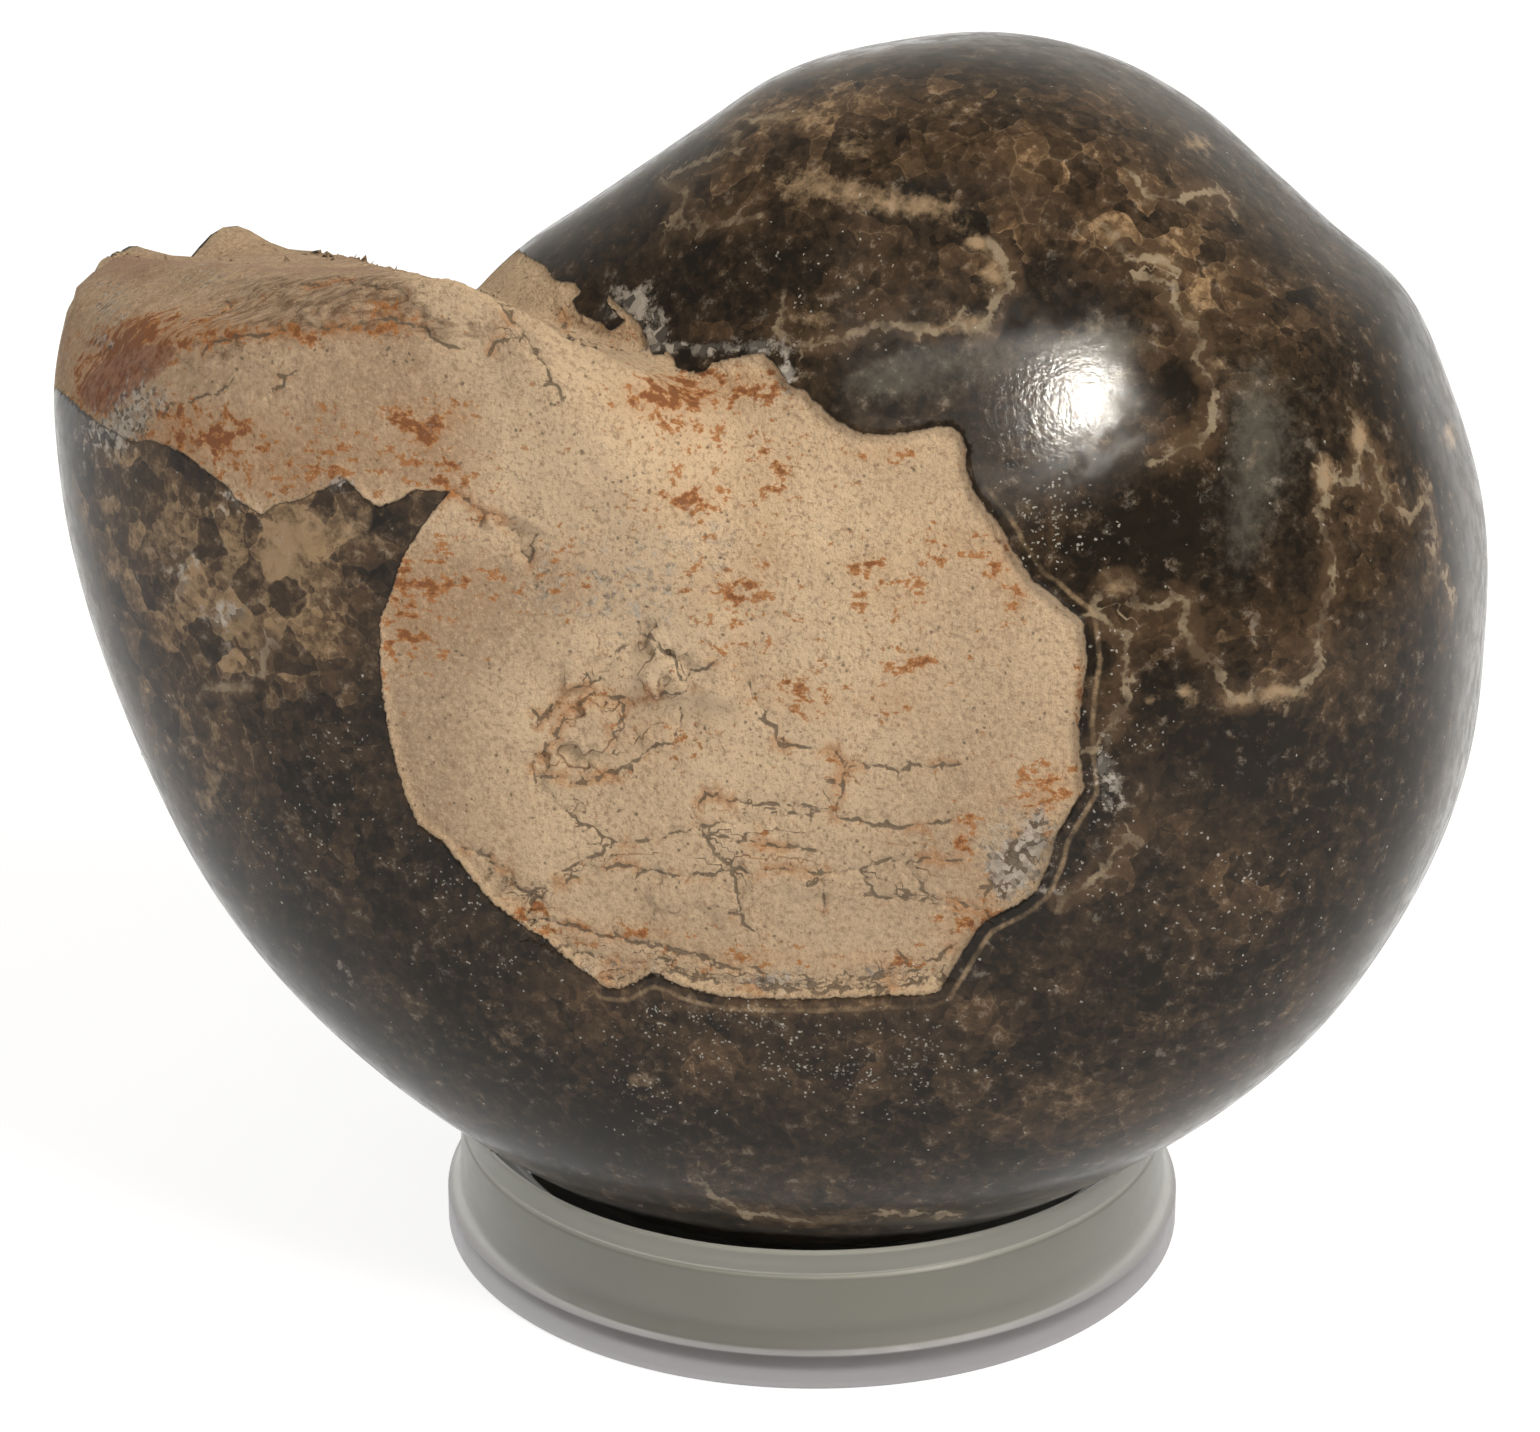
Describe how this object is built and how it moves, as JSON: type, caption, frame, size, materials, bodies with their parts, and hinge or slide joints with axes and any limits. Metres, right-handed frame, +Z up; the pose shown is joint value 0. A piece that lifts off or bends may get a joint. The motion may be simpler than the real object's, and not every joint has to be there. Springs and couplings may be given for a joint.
{
  "type": "ammonite fossil",
  "caption": "Inflated coiled fossil shell in polished dark stone with a pale filled middle and a broken end, standing upright in an open round display ring.",
  "frame": {"origin": "middle of the bounding box's bottom, on the surface the ring stands on", "axes": "+Z up; +X to the right as seen from the side with the pale filled middle; +Y away from that side"},
  "size_m": [0.1356, 0.098, 0.1204],
  "materials": {
    "fossil_stone": "polished dark calcite with pale limestone in the middle",
    "clear_acrylic": "clear with a light frosting"
  },
  "bodies": {
    "root": {"ammonite_fossil": "fossil_stone", "ring_stand": "clear_acrylic"}
  },
  "joints": []
}
